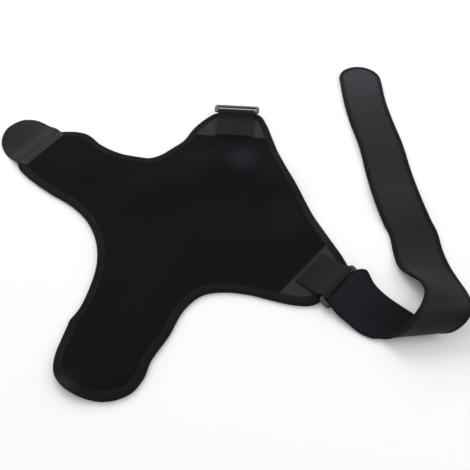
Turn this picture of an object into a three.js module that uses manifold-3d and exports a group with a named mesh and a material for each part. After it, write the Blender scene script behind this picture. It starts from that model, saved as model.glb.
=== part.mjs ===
// A shoulder brace lying open on a flat surface: a cut neoprene panel with a bound edge, a hook tab
// on its upper arm, two webbing loops that hold plastic rings, and a long elastic strap.
// Millimetres, +Z up, +X to the right and +Y away from the viewer.

import * as THREE from "three";
import { mergeVertices } from "three/addons/utils/BufferGeometryUtils.js";
import loadManifold from "manifold-3d";

const wasm = await loadManifold();
wasm.setup();

// Panel
const panelLength = 334; // along the mirror line, from the ring edge to the arm ends
const panelWidth = 409; // across it, from arm to arm
const panelThick = 3.5; // neoprene with cloth on both sides
const panelTurn = 19.5; // degrees, the mirror line's turn on the surface
const reliefHeight = 9; // the highest soft swell of the lying panel
const cell = 21; // facet size of the flat pieces
const outlineStep = 12; // spacing of outline points
const gap = 0.3; // clearance between pieces that touch

// Bound edge
const bindingWidth = 9.5; // how far the tape reaches in from the edge
const tape = 0.6; // thickness of a binding tape

// Hook tab
const tabLength = 65; // beyond the panel's cut arm end
const tabWidth = 77;
const tabThick = 1.4;
const tabOverlap = 12; // sewn onto the arm
const tabRest = 6; // how far it lies level beyond the cut
const tabSlope = 17; // the length over which the tab comes down to the surface
const tabSewn = 0.92; // its width at the sewn end, as a share of its full width

// Corner patches and webbing loops
const patchThick = 0.8;
const webbingWidth = 50;
const webbing = 1.6; // thickness of one layer
const webbingMerge = 15; // where the two layers of a loop come together

// Rings
const ringLength = 62;
const ringBar = 4; // width of a bar
const ringThick = 3.2;
const ringWindow = 7; // across the window
const ringEnd = 5.4; // width of the short end bars
const ringRound = 4.5; // outer corner radius
const ringBevel = 0.5;
const ringSeat = 4; // from the panel's corner edge in to the middle of the inner bar

// Strap
const strapWidth = 60;
const strapCore = 2.4; // elastic cloth without its edge tape
const strapBinding = 5.5; // width of the edge tape on each face
const strapReach = 400; // from the side ring away to the strap's tip
const rollHeight = 28; // how far the strap rises where it rolls over
const strapColumns = 3; // facets between the two edge tapes

const degrees = Math.PI / 180;
const overEdge = tape + gap;

// The panel's outline as it lies, in stretches that go round it: places as shares of the panel's
// length and width, from its middle. Half of the end that holds the rings comes first.
const ringEdge = [
  { along: 0.331, across: 0 },
  { along: 0.333, across: 0.110 },
  { along: 0.345, across: 0.220 },
  { along: 0.354, across: 0.300 },
  { along: 0.350, across: 0.338 },
  { along: 0.329, across: 0.362 },
  { along: 0.269, across: 0.384 },
  { along: 0.210, across: 0.403 },
  { along: 0.174, across: 0.406 },
  { along: 0.120, across: 0.388 },
  { along: 0.060, across: 0.355 },
];
const farSpread = 0.98; // how far out the end's far half lies, as a share of its near half

// The waist on the far side, with a sharp notch, and the one on the near side
const farWaist = [
  { along: 0.006, across: 0.306 },
  { along: -0.050, across: 0.284 },
  { along: -0.105, across: 0.266 },
  { along: -0.146, across: 0.261 },
  { along: -0.180, across: 0.277 },
  { along: -0.248, across: 0.315 },
];
const nearWaist = [
  { along: -0.284, across: -0.366 },
  { along: -0.216, across: -0.308 },
  { along: -0.144, across: -0.281 },
  { along: -0.075, across: -0.290 },
  { along: 0.000, across: -0.320 },
];

// The upper arm's end, cut off straight where the tab is sewn on
const armCut = [
  { along: -0.472, across: 0.481 },
  { along: -0.622, across: 0.391 },
];
const armEnd = [
  { along: -0.312, across: 0.376 },
  { along: -0.336, across: 0.419 },
  { along: -0.354, across: 0.442 },
  { along: -0.376, across: 0.457 },
  { along: -0.406, across: 0.470 },
  { along: -0.444, across: 0.480 },
  armCut[0],
  { along: -0.547, across: 0.435 },
  armCut[1],
  { along: -0.638, across: 0.380 },
  { along: -0.638, across: 0.362 },
  { along: -0.616, across: 0.318 },
];

// The notch between the two arms, from the upper one to the lower one
const armNotch = [
  { along: -0.590, across: 0.280 },
  { along: -0.542, across: 0.219 },
  { along: -0.487, across: 0.158 },
  { along: -0.444, across: 0.085 },
  { along: -0.428, across: 0 },
  { along: -0.444, across: -0.085 },
  { along: -0.487, across: -0.160 },
  { along: -0.533, across: -0.215 },
  { along: -0.553, across: -0.230 },
  { along: -0.568, across: -0.240 },
  { along: -0.579, across: -0.255 },
  { along: -0.604, across: -0.288 },
];

// The lower arm's end, a rounded lobe
const lobeEnd = [
  { along: -0.628, across: -0.325 },
  { along: -0.641, across: -0.360 },
  { along: -0.641, across: -0.386 },
  { along: -0.620, across: -0.425 },
  { along: -0.569, across: -0.465 },
  { along: -0.503, across: -0.488 },
  { along: -0.440, across: -0.485 },
  { along: -0.394, across: -0.458 },
  { along: -0.366, across: -0.426 },
  { along: -0.354, across: -0.415 },
  { along: -0.318, across: -0.390 },
];

// Soft swells of the lying panel: middle, half length and half width as shares of the panel's length
const swells = [
  { name: "shoulder_hump", along: 0.170, across: 0.150, length: 0.20, width: 0.12, turn: -20, rise: 0.85 },
  { name: "long_ridge", along: -0.10, across: 0.135, length: 0.30, width: 0.14, turn: 8, rise: 0.50 },
  { name: "edge_lift", along: 0.290, across: 0.005, length: 0.20, width: 0.16, turn: 85, rise: 0.75 },
  { name: "middle_swell", along: -0.02, across: -0.14, length: 0.28, width: 0.20, turn: -25, rise: 0.40 },
  { name: "upper_arm_swell", along: -0.44, across: 0.30, length: 0.19, width: 0.15, turn: 130, rise: 0.35 },
  { name: "lobe_lift", along: -0.60, across: -0.40, length: 0.17, width: 0.12, turn: 60, rise: 0.60 },
  { name: "lobe_swell", along: -0.43, across: -0.36, length: 0.20, width: 0.13, turn: 50, rise: 0.35 },
];

// The tab's outline beyond the arm end: shares of the tab's length and half width
const tabOutline = [
  { out: 0.00, aside: 0.97 },
  { out: 0.36, aside: 1.01 },
  { out: 0.58, aside: 0.98 },
  { out: 0.74, aside: 0.88 },
  { out: 0.90, aside: 0.67 },
  { out: 0.965, aside: 0.37 },
  { out: 0.97, aside: 0.05 },
  { out: 0.88, aside: -0.30 },
  { out: 0.76, aside: -0.55 },
  { out: 0.62, aside: -0.725 },
  { out: 0.40, aside: -0.88 },
  { out: 0.00, aside: -1.00 },
];

// Where the two rings sit on the panel's corners, how far their webbing and the patch under it
// reach in, as shares of the webbing's width, and how much of the way down to the strap they tilt
const ringSeats = [
  { name: "top", along: 0.261, across: 0.3745, turn: 66.0, loop: 0.96, patch: 0.97, tilt: 0.15 },
  { name: "side", along: 0.286, across: -0.382, turn: -60.7, loop: 0.80, patch: 0.89, tilt: 1 },
];

// The strap's end folded back under it at the ring, from its cut edge to the bar: distance out from
// the bar and slip aside as shares of the strap's width, turn in degrees
const flapSections = [
  { out: 0.30, slip: 0.06, turn: 4, span: 0.98 },
  { out: 0.11, slip: 0.13, turn: 1, span: 1.04 },
];

// The strap from the side ring to its tip: places as shares of its reach, rise above lying flat as
// a share of the roll's height, the turn and lean of the line across the strap in degrees, the span
// of that line as a share of the strap's width, and the number of facets since the row before
const strapSections = [
  { right: 0.025, away: -0.018, rise: 0.175, turn: 49, lean: 0, span: 1.04, facets: 1 },
  { right: 0.045, away: -0.040, rise: 0.110, turn: 49, lean: 0, span: 1.02, facets: 1 },
  { right: 0.075, away: -0.074, rise: 0.020, turn: 46, lean: 0, span: 0.95, facets: 2 },
  { right: 0.118, away: -0.106, rise: 0.010, turn: 32, lean: -1, span: 0.94, facets: 2 },
  { right: 0.149, away: -0.126, rise: 0.040, turn: 14, lean: -1, span: 0.98, facets: 2 },
  { right: 0.166, away: -0.139, rise: 0.180, turn: 7, lean: 0, span: 1.04, facets: 2 },
  { right: 0.184, away: -0.143, rise: 0.500, turn: 5, lean: 0, span: 1.05, facets: 2 },
  { right: 0.208, away: -0.131, rise: 0.850, turn: 5, lean: 0, span: 1.05, facets: 2 },
  { right: 0.230, away: -0.105, rise: 1.000, turn: 5, lean: -1, span: 1.04, facets: 2 },
  { right: 0.248, away: -0.080, rise: 0.900, turn: 4, lean: -5, span: 0.96, facets: 1 },
  { right: 0.260, away: -0.050, rise: 0.720, turn: 3, lean: -10, span: 0.88, facets: 1 },
  { right: 0.266, away: -0.020, rise: 0.540, turn: 2, lean: -13, span: 0.84, facets: 1 },
  { right: 0.262, away: 0.010, rise: 0.390, turn: 2, lean: -13, span: 0.85, facets: 1 },
  { right: 0.249, away: 0.042, rise: 0.240, turn: 3, lean: -9, span: 0.93, facets: 1 },
  { right: 0.236, away: 0.080, rise: 0.090, turn: 4, lean: -4, span: 0.99, facets: 1 },
  { right: 0.231, away: 0.138, rise: 0.000, turn: 3, lean: 0, span: 0.96, facets: 2 },
  { right: 0.230, away: 0.200, rise: 0.000, turn: 4, lean: 0, span: 0.96, facets: 1 },
  { right: 0.219, away: 0.247, rise: 0.030, turn: 6, lean: 0, span: 0.97, facets: 1 },
  { right: 0.204, away: 0.340, rise: 0.090, turn: 6, lean: 0, span: 0.98, facets: 2 },
  { right: 0.197, away: 0.447, rise: 0.010, turn: 4, lean: 0, span: 0.98, facets: 2 },
  { right: 0.190, away: 0.572, rise: 0.050, turn: 4, lean: 0, span: 0.98, facets: 2 },
  { right: 0.176, away: 0.697, rise: 0.000, turn: 4, lean: 0, span: 1.00, facets: 2 },
  { right: 0.168, away: 0.797, rise: 0.000, turn: 1, lean: 0, span: 1.00, facets: 2 },
  { right: 0.167, away: 0.897, rise: 0.020, turn: -1, lean: 0, span: 1.01, facets: 2 },
  { right: 0.167, away: 1.000, rise: 0.000, turn: -1, lean: 0, span: 1.01, facets: 3 },
];

function cloth(color, roughness) {
  return new THREE.MeshStandardMaterial({ color, roughness, metalness: 0 });
}

const neoprene = cloth(0x111115, 0.85);
const tapeCloth = cloth(0x17171b, 0.7);
const hookCloth = cloth(0x1c1d22, 0.75);
const patchCloth = cloth(0x2b2b2f, 0.9);
const webbingCloth = cloth(0x232327, 0.65);
const elasticCloth = cloth(0x18181c, 0.85);
const ringPlastic = cloth(0x2d2d31, 0.4);

function named(name, geometry, material) {
  const mesh = new THREE.Mesh(geometry, material);
  mesh.name = name;
  return mesh;
}

// Outlines

function smoothLoop(points, closed) {
  const knots = points.map(([x, y]) => new THREE.Vector3(x, y, 0));
  const curve = new THREE.CatmullRomCurve3(knots, closed, "centripetal");
  curve.arcLengthDivisions = 800;
  const steps = Math.round(curve.getLength() / outlineStep);
  const spaced = curve.getSpacedPoints(steps).map((p) => [p.x, p.y]);
  return closed ? spaced.slice(0, -1) : spaced;
}

function area(loop) {
  let doubled = 0;
  loop.forEach(([x, y], i) => {
    const [nextX, nextY] = loop[(i + 1) % loop.length];
    doubled += x * nextY - nextX * y;
  });
  return doubled / 2;
}

function distanceTo(loop, x, y) {
  let nearest = Infinity;
  loop.forEach(([ax, ay], i) => {
    const [bx, by] = loop[(i + 1) % loop.length];
    const length = (bx - ax) ** 2 + (by - ay) ** 2;
    const share = ((x - ax) * (bx - ax) + (y - ay) * (by - ay)) / length;
    const t = Math.min(1, Math.max(0, share));
    nearest = Math.min(nearest, Math.hypot(x - ax - t * (bx - ax), y - ay - t * (by - ay)));
  });
  return nearest;
}

// A loop moved inwards, its corners kept, without the points that would come too near another
// stretch of it
function inset(loop, distance) {
  const side = Math.sign(area(loop));
  const inward = ([ax, ay], [bx, by]) => {
    const length = Math.hypot(bx - ax, by - ay);
    return [(-side * (by - ay)) / length, (side * (bx - ax)) / length];
  };
  const moved = loop.map((point, i) => {
    const [beforeX, beforeY] = inward(loop[(i + loop.length - 1) % loop.length], point);
    const [afterX, afterY] = inward(point, loop[(i + 1) % loop.length]);
    const reach = distance / (1 + beforeX * afterX + beforeY * afterY);
    return [point[0] + reach * (beforeX + afterX), point[1] + reach * (beforeY + afterY)];
  });
  return moved.filter(([x, y]) => distanceTo(loop, x, y) > distance * 0.97);
}

// The part of a loop that lies ahead of a line across the direction at an angle
function ahead(loop, [lineX, lineY], angle) {
  const depth = ([x, y]) => (x - lineX) * Math.cos(angle) + (y - lineY) * Math.sin(angle);
  const kept = [];
  loop.forEach((point, i) => {
    const next = loop[(i + 1) % loop.length];
    const here = depth(point);
    const there = depth(next);
    if (here > 0) kept.push(point);
    if (here * there < 0) {
      const t = here / (here - there);
      kept.push([point[0] + t * (next[0] - point[0]), point[1] + t * (next[1] - point[1])]);
    }
  });
  return kept;
}

// Solids

// Face numbers that keep every two triangles in a row as one face of their own when a solid is cut
function pairedFaces(triangleCount) {
  return Uint32Array.from({ length: triangleCount }, (_, i) => Math.floor(i / 2));
}

function solidOf(geometry) {
  geometry.deleteAttribute("normal");
  geometry.deleteAttribute("uv");
  const merged = mergeVertices(geometry, 1e-4);
  const vertProperties = Float32Array.from(merged.attributes.position.array);
  const triVerts = Uint32Array.from(merged.index.array);
  const faceID = pairedFaces(triVerts.length / 3);
  return new wasm.Manifold(new wasm.Mesh({ numProp: 3, vertProperties, triVerts, faceID }));
}

function prism(loop, low, high) {
  const shape = new THREE.Shape(loop.map(([x, y]) => new THREE.Vector2(x, y)));
  const geometry = new THREE.ExtrudeGeometry(shape, { depth: high - low, bevelEnabled: false });
  return solidOf(geometry.translate(0, 0, low));
}

// A slab on a grid of lines whose triangles all stay apart when it is cut
function slab(xs, ys, low, high) {
  const vertices = [];
  for (const z of [low, high]) {
    for (const y of ys) {
      for (const x of xs) vertices.push(x, y, z);
    }
  }
  const at = (i, j, top) => (top * ys.length + j) * xs.length + i;
  const triangles = [];
  const quad = (a, b, c, d) => triangles.push(a, b, c, a, c, d);
  const lastX = xs.length - 1;
  const lastY = ys.length - 1;
  for (let j = 0; j < lastY; j++) {
    for (let i = 0; i < lastX; i++) {
      quad(at(i, j, 1), at(i + 1, j, 1), at(i + 1, j + 1, 1), at(i, j + 1, 1));
      triangles.push(at(i, j, 0), at(i + 1, j + 1, 0), at(i + 1, j, 0));
      triangles.push(at(i, j, 0), at(i, j + 1, 0), at(i + 1, j + 1, 0));
    }
    quad(at(0, j + 1, 0), at(0, j, 0), at(0, j, 1), at(0, j + 1, 1));
    quad(at(lastX, j, 0), at(lastX, j + 1, 0), at(lastX, j + 1, 1), at(lastX, j, 1));
  }
  for (let i = 0; i < lastX; i++) {
    quad(at(i, 0, 0), at(i + 1, 0, 0), at(i + 1, 0, 1), at(i, 0, 1));
    quad(at(i + 1, lastY, 0), at(i, lastY, 0), at(i, lastY, 1), at(i + 1, lastY, 1));
  }
  return new wasm.Manifold(new wasm.Mesh({
    numProp: 3,
    vertProperties: Float32Array.from(vertices),
    triVerts: Uint32Array.from(triangles),
    faceID: Uint32Array.from(triangles.filter((v, i) => i % 3 === 0).map((v, i) => i)),
  }));
}

function flatPiece(grid, loop, low, high) {
  return slab(grid.xs, grid.ys, low, high).intersect(prism(loop, low - 1, high + 1));
}

// A tape folded round the edge of a flat piece, open towards the middle
function foldedTape(grid, loop, width, inside) {
  const high = inside + 2 * overEdge;
  const whole = flatPiece(grid, loop, 0, high);
  const cavity = flatPiece(grid, inset(loop, tape), tape, high - tape);
  return whole.subtract(cavity).subtract(prism(inset(loop, width), -1, high + 1));
}

// Moves a flat solid onto the facets that a grid's lines make in space: pointAt gives the place of
// the crossing of two grid lines at a height above the surface
function drape(solid, grid, pointAt) {
  const { xs, ys } = grid;
  const cellOf = (lines, value) => {
    const index = lines.filter((line) => line < value - 1e-6).length - 1;
    return Math.min(lines.length - 2, Math.max(0, index));
  };
  const mesh = solid.getMesh();
  const positions = [];
  for (let v = 0; v < mesh.numVert; v++) {
    const [x, y, z] = mesh.vertProperties.slice(v * 3, v * 3 + 3);
    const i = cellOf(xs, x);
    const j = cellOf(ys, y);
    const right = (x - xs[i]) / (xs[i + 1] - xs[i]);
    const up = (y - ys[j]) / (ys[j + 1] - ys[j]);
    const corner = right >= up ? pointAt(i + 1, j, z) : pointAt(i, j + 1, z);
    const far = Math.min(right, up);
    const middle = Math.abs(right - up);
    const place = pointAt(i, j, z).multiplyScalar(1 - far - middle);
    place.addScaledVector(corner, middle).addScaledVector(pointAt(i + 1, j + 1, z), far);
    positions.push(place.x, place.y, place.z);
  }
  const geometry = new THREE.BufferGeometry();
  geometry.setAttribute("position", new THREE.Float32BufferAttribute(positions, 3));
  geometry.setIndex(Array.from(mesh.triVerts));
  return geometry;
}

function evenLines(low, high, step) {
  const count = Math.ceil((high - low) / step);
  return Array.from({ length: count + 1 }, (_, i) => low + ((high - low) * i) / count);
}

// Panel

const farHalf = ringEdge.map(({ along, across }) => ({ along, across: across * farSpread }));
const nearHalf = ringEdge.slice(1).map(({ along, across }) => ({ along, across: -across }));
const panelRows = [
  ...farHalf,
  ...farWaist,
  ...armEnd,
  ...armNotch,
  ...lobeEnd,
  ...nearWaist,
  ...nearHalf.reverse(),
];
const panelOutline = smoothLoop(
  panelRows.map(({ along, across }) => [along * panelLength, across * panelWidth]),
  true,
);

function gridOver(loop, step) {
  const spread = (values) => [Math.min(...values) - 1, Math.max(...values) + 1];
  const [west, east] = spread(loop.map(([x]) => x));
  const [south, north] = spread(loop.map(([, y]) => y));
  return { xs: evenLines(west, east, step), ys: evenLines(south, north, step) };
}

const panelGrid = gridOver(panelOutline, cell);
const panelHigh = overEdge + panelThick; // top of the panel
const boundHigh = panelHigh + overEdge; // top of its edge tape

// Height of the surface under the edge tape; away from the edge the panel sags down to the floor
function ground(x, y) {
  let height = 0;
  for (const { along, across, length, width, turn, rise } of swells) {
    const dx = x - along * panelLength;
    const dy = y - across * panelWidth;
    const cos = Math.cos(turn * degrees);
    const sin = Math.sin(turn * degrees);
    const lengthwise = (dx * cos + dy * sin) / (length * panelLength);
    const crosswise = (dy * cos - dx * sin) / (width * panelLength);
    const left = Math.max(0, 1 - lengthwise ** 2 - crosswise ** 2);
    height += reliefHeight * rise * left ** 2;
  }
  const edge = distanceTo(panelOutline, x, y);
  const start = bindingWidth + 1.5 * cell;
  const sag = THREE.MathUtils.smoothstep(edge, start, start + 2 * cell);
  return height - overEdge * sag;
}

const groundNodes = panelGrid.ys.map((y) => panelGrid.xs.map((x) => ground(x, y)));
const onPanel = (i, j, z) =>
  new THREE.Vector3(panelGrid.xs[i], panelGrid.ys[j], z + groundNodes[j][i]);

const panelInside = inset(panelOutline, overEdge);
const panel = flatPiece(panelGrid, panelInside, overEdge, panelHigh);
const edgeBinding = foldedTape(panelGrid, panelOutline, bindingWidth, panelThick);

const body = new THREE.Group();
body.rotation.z = panelTurn * degrees;
body.add(named("panel", drape(panel, panelGrid, onPanel), neoprene));
body.add(named("edge_binding", drape(edgeBinding, panelGrid, onPanel), tapeCloth));

// Hook tab, in a frame whose x runs out over the cut arm end

const [cutFar, cutNear] = armCut.map((row) => [row.along * panelLength, row.across * panelWidth]);
const armTurn = Math.atan2(cutFar[1] - cutNear[1], cutFar[0] - cutNear[0]) + 90 * degrees;
const sewnHalf = (tabSewn * tabWidth) / 2;
const tabLoop = [
  [-tabOverlap, -sewnHalf],
  ...smoothLoop(tabOutline.map(({ out, aside }) => [out * tabLength, (-aside * tabWidth) / 2]), false),
  [-tabOverlap, sewnHalf],
];
const tabGrid = gridOver(tabLoop, cell * 0.6);
const tabSeat = boundHigh + gap;

function onTab(i, j, z) {
  const x = tabGrid.xs[i];
  const down = THREE.MathUtils.smoothstep(x, tabRest, tabRest + tabSlope);
  return new THREE.Vector3(x, tabGrid.ys[j], z + tabSeat * (1 - down));
}

const tabGeometry = drape(flatPiece(tabGrid, tabLoop, 0, tabThick), tabGrid, onTab);
const hookTab = named("hook_tab", tabGeometry, hookCloth);
hookTab.position.set((cutFar[0] + cutNear[0]) / 2, (cutFar[1] + cutNear[1]) / 2, 0);
hookTab.rotation.z = armTurn;
body.add(hookTab);

// Rings: rounded oblong frames, tilted down over the panel's edge

const barEye = Math.hypot(ringBar / 2, ringThick / 2 - ringBevel) + gap; // hole round a bar
const webbingLow = boundHigh + gap + patchThick / 4;
const innerBarHigh = webbingLow + webbing + barEye;
const outerBarHigh = strapCore + barEye;
const barSpacing = ringWindow + ringBar;
const ringDroop = Math.asin((innerBarHigh - outerBarHigh) / barSpacing);

function roundedOblong(path, length, depth, radius) {
  const x = length / 2;
  const y = depth / 2;
  path.moveTo(x, -y + radius);
  path.lineTo(x, y - radius);
  path.absarc(x - radius, y - radius, radius, 0, 90 * degrees);
  path.lineTo(-x + radius, y);
  path.absarc(-x + radius, y - radius, radius, 90 * degrees, 180 * degrees);
  path.lineTo(-x, -y + radius);
  path.absarc(-x + radius, -y + radius, radius, 180 * degrees, 270 * degrees);
  path.lineTo(x - radius, -y);
  path.absarc(x - radius, -y + radius, radius, 270 * degrees, 360 * degrees);
  return path;
}

// A ring whose inner bar lies on the y axis and whose outer bar lies at +x, lower by a droop
function ringGeometry(droop) {
  const shape = roundedOblong(new THREE.Shape(), ringLength, ringWindow + 2 * ringBar, ringRound);
  const windowLength = ringLength - 2 * ringEnd;
  shape.holes.push(roundedOblong(new THREE.Path(), windowLength, ringWindow, ringBar / 3));
  const geometry = new THREE.ExtrudeGeometry(shape, {
    depth: ringThick - 2 * ringBevel,
    bevelThickness: ringBevel,
    bevelSize: ringBevel,
    bevelOffset: -ringBevel,
    bevelSegments: 1,
    curveSegments: 3,
  });
  geometry.translate(0, -barSpacing / 2, ringBevel - ringThick / 2);
  return geometry.rotateZ(90 * degrees).rotateY(droop);
}

// A webbing loop seen from its side: two layers sewn together, with an eye for the ring's bar
function loopGeometry(reach) {
  const merge = -ringSeat - webbingMerge;
  const outer = barEye + webbing;
  const shape = new THREE.Shape();
  shape.moveTo(-reach, webbingLow);
  shape.lineTo(-ringSeat, webbingLow);
  shape.absarc(-ringSeat, innerBarHigh, outer, -90 * degrees, 90 * degrees);
  shape.lineTo(merge, webbingLow + 2 * webbing);
  shape.lineTo(-reach, webbingLow + 2 * webbing);
  const eye = new THREE.Path();
  eye.absarc(-ringSeat, innerBarHigh, barEye, 0, 360 * degrees);
  shape.holes.push(eye);
  const geometry = new THREE.ExtrudeGeometry(shape, {
    depth: webbingWidth,
    bevelEnabled: false,
    curveSegments: 8,
  });
  return geometry.translate(0, 0, -webbingWidth / 2).rotateX(90 * degrees);
}

const patchField = inset(panelOutline, bindingWidth + gap);
for (const { name, along, across, turn, loop, patch: patchReach, tilt } of ringSeats) {
  const seat = [along * panelLength, across * panelWidth];
  const angle = turn * degrees;
  const inner = patchReach * webbingWidth;
  const line = [seat[0] - inner * Math.cos(angle), seat[1] - inner * Math.sin(angle)];
  const patchLow = panelHigh + gap;
  const patch = flatPiece(panelGrid, ahead(patchField, line, angle), patchLow, patchLow + patchThick);
  body.add(named(`${name}_patch`, drape(patch, panelGrid, onPanel), patchCloth));

  const webbingLoop = named(`${name}_loop`, loopGeometry(loop * webbingWidth), webbingCloth);
  webbingLoop.position.set(seat[0], seat[1], 0);
  webbingLoop.rotation.z = angle;
  body.add(webbingLoop);

  const ring = named(`${name}_ring`, ringGeometry(tilt * ringDroop), ringPlastic);
  const inward = -ringSeat;
  ring.position.set(seat[0] + inward * Math.cos(angle), seat[1] + inward * Math.sin(angle), innerBarHigh);
  ring.rotation.z = angle;
  body.add(ring);
}

// Strap: sections across it, from the flap's end round the side ring's outer bar to the tip

const sideSeat = ringSeats[1];
const sideTurn = (sideSeat.turn + panelTurn) * degrees;
const outward = new THREE.Vector3(Math.cos(sideTurn), Math.sin(sideTurn), 0);
const aside = new THREE.Vector3(-outward.y, outward.x, 0);
const upward = new THREE.Vector3(0, 0, 1);
const outerBar = new THREE.Vector3(sideSeat.along * panelLength, sideSeat.across * panelWidth, 0)
  .applyAxisAngle(upward, panelTurn * degrees)
  .addScaledVector(outward, barSpacing * Math.cos(ringDroop) - ringSeat)
  .setZ(outerBarHigh);
const wrapRadius = barEye + strapCore / 2;
const windowSpan = (ringLength - 2 * ringEnd - 3 * gap) / strapWidth;
const acrossAtRing = sideTurn / degrees + 90;

const sections = [];
for (const { out, slip, turn, span } of flapSections) {
  const point = outerBar.clone().addScaledVector(outward, out * strapWidth);
  point.addScaledVector(aside, slip * strapWidth).setZ(strapCore / 2);
  sections.push({ point, turn: acrossAtRing + turn, lean: 0, span });
}
for (let angle = -90; angle >= -270; angle -= 30) {
  const point = outerBar.clone().addScaledVector(outward, wrapRadius * Math.cos(angle * degrees));
  point.z += wrapRadius * Math.sin(angle * degrees);
  sections.push({ point, turn: acrossAtRing, lean: 0, span: windowSpan });
}
const wrapEnd = sections.length - 1;
const wrapTop = sections[wrapEnd];
const lying = overEdge + strapCore / 2; // height of the strap's middle where it lies flat
const strapKnots = strapSections.map(({ right, away, rise }) => new THREE.Vector3(
  outerBar.x + right * strapReach,
  outerBar.y + away * strapReach,
  lying + rise * rollHeight,
));
const route = new THREE.CatmullRomCurve3([wrapTop.point, ...strapKnots], false, "catmullrom", 0.5);
const attitude = new THREE.CatmullRomCurve3(
  [wrapTop, ...strapSections].map(({ turn, lean, span }) => new THREE.Vector3(turn, lean, span * 100)),
  false,
  "catmullrom",
  0.5,
);
strapSections.forEach(({ facets }, row) => {
  for (let step = 1; step <= facets; step++) {
    const share = (row + step / facets) / strapSections.length;
    const { x: turn, y: lean, z } = attitude.getPoint(share);
    const span = z / 100;
    const point = route.getPoint(share);
    const lowerEdge = (strapWidth / 2) * span * Math.abs(Math.sin(lean * degrees));
    point.z = Math.max(point.z, lying + lowerEdge);
    sections.push({ point, turn, lean, span });
  }
});

let run = 0;
sections.forEach((section, i) => {
  const before = sections[Math.max(0, i - 1)].point;
  const after = sections[Math.min(sections.length - 1, i + 1)].point;
  run += before === section.point ? 0 : before.distanceTo(section.point);
  section.run = run;
  const turn = section.turn * degrees;
  const lean = section.lean * degrees;
  const level = new THREE.Vector3(Math.cos(turn), Math.sin(turn), 0);
  section.acrossWay = level.multiplyScalar(Math.cos(lean)).addScaledVector(upward, Math.sin(lean));
  section.faceWay = after.clone().sub(before).cross(section.acrossWay).normalize();
});

const strapEnd = sections[sections.length - 1].run;
const halfStrap = strapWidth / 2;
const bindingEdge = halfStrap - strapBinding;
const strapGrid = {
  xs: sections.map((section) => section.run),
  ys: [-halfStrap, ...evenLines(-bindingEdge, bindingEdge, (2 * bindingEdge) / strapColumns), halfStrap],
};

// Past the ring, nothing comes lower than it would on a strap that lies flat
function onStrap(i, j, z) {
  const { point, acrossWay, faceWay, span } = sections[i];
  const place = point.clone().addScaledVector(acrossWay, strapGrid.ys[j] * span);
  place.addScaledVector(faceWay, z - lying);
  if (i > wrapEnd) place.z = Math.max(place.z, lying + Math.sign(faceWay.z) * (z - lying));
  return place;
}

// The strap's flat pattern: a long band with a round tip, longer than the strap at its near end,
// with a point wherever a section crosses its long edges
const tipStart = strapEnd - halfStrap;
const edgePlaces = [-2 * halfStrap, ...strapGrid.xs.slice(1).filter((x) => x < tipStart)];
const tip = [];
for (let angle = -90; angle <= 90; angle += 15) {
  const x = tipStart + halfStrap * Math.cos(angle * degrees);
  tip.push([x, halfStrap * Math.sin(angle * degrees)]);
}
const strapOutline = [
  ...edgePlaces.map((x) => [x, -halfStrap]),
  ...tip,
  ...edgePlaces.reverse().map((x) => [x, halfStrap]),
];
const strap = flatPiece(strapGrid, inset(strapOutline, overEdge), overEdge, overEdge + strapCore);
const tapeGrid = { xs: strapGrid.xs.slice(wrapEnd + 1), ys: strapGrid.ys };
const strapTape = foldedTape(tapeGrid, strapOutline, strapBinding, strapCore);

const brace = new THREE.Group();
brace.add(body);
brace.add(named("strap", drape(strap, strapGrid, onStrap), elasticCloth));
brace.add(named("strap_binding", drape(strapTape, strapGrid, onStrap), tapeCloth));

// The origin is the bottom middle of the whole brace
const bounds = new THREE.Box3().setFromObject(brace, true);
const middle = bounds.getCenter(new THREE.Vector3());
brace.position.set(-middle.x, -middle.y, -bounds.min.z);

export default brace;
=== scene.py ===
import math
import bpy
import numpy as np
from mathutils import Matrix, Vector, noise


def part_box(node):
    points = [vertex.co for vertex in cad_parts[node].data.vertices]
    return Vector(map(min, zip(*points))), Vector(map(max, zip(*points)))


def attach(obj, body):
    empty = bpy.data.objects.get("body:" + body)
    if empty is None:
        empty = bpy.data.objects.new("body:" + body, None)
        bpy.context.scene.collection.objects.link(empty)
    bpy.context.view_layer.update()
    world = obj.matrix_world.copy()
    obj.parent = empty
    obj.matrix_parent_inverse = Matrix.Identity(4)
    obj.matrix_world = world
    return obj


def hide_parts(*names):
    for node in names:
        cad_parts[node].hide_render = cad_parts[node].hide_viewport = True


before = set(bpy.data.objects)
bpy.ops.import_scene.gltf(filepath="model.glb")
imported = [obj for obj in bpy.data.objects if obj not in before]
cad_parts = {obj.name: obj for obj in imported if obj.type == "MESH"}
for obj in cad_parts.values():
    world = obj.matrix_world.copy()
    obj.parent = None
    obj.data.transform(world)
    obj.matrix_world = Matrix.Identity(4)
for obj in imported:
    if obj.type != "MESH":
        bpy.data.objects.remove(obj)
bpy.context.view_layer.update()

# The camera
# It stands in front of the brace and looks down on it, with the long strap running away from it
# on the right.
camera_target = Vector((0.0338, -0.0570, 0))
camera_distance = 0.697
camera_elevation = math.radians(52)
camera_data = bpy.data.cameras.new("camera")
camera_data.sensor_width = 36
camera_data.lens = 45.2
camera = bpy.data.objects.new("camera", camera_data)
bpy.context.scene.collection.objects.link(camera)
camera_back = Vector((0, -math.cos(camera_elevation), math.sin(camera_elevation)))
camera.location = camera_target + camera_distance * camera_back
camera.rotation_euler = (math.radians(90) - camera_elevation, 0, 0)
bpy.context.scene.camera = camera

# The surface and the light
# A seamless white sheet lit softly from all round, with a broad lamp behind on the left and a
# weaker one on the right, so that dark cloth shows its sheen.


def new_material(name):
    """A new material with its shader nodes and its main shader."""
    material = bpy.data.materials.new(name)
    material.use_nodes = True
    tree = material.node_tree
    return material, tree, tree.nodes["Principled BSDF"]


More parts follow.
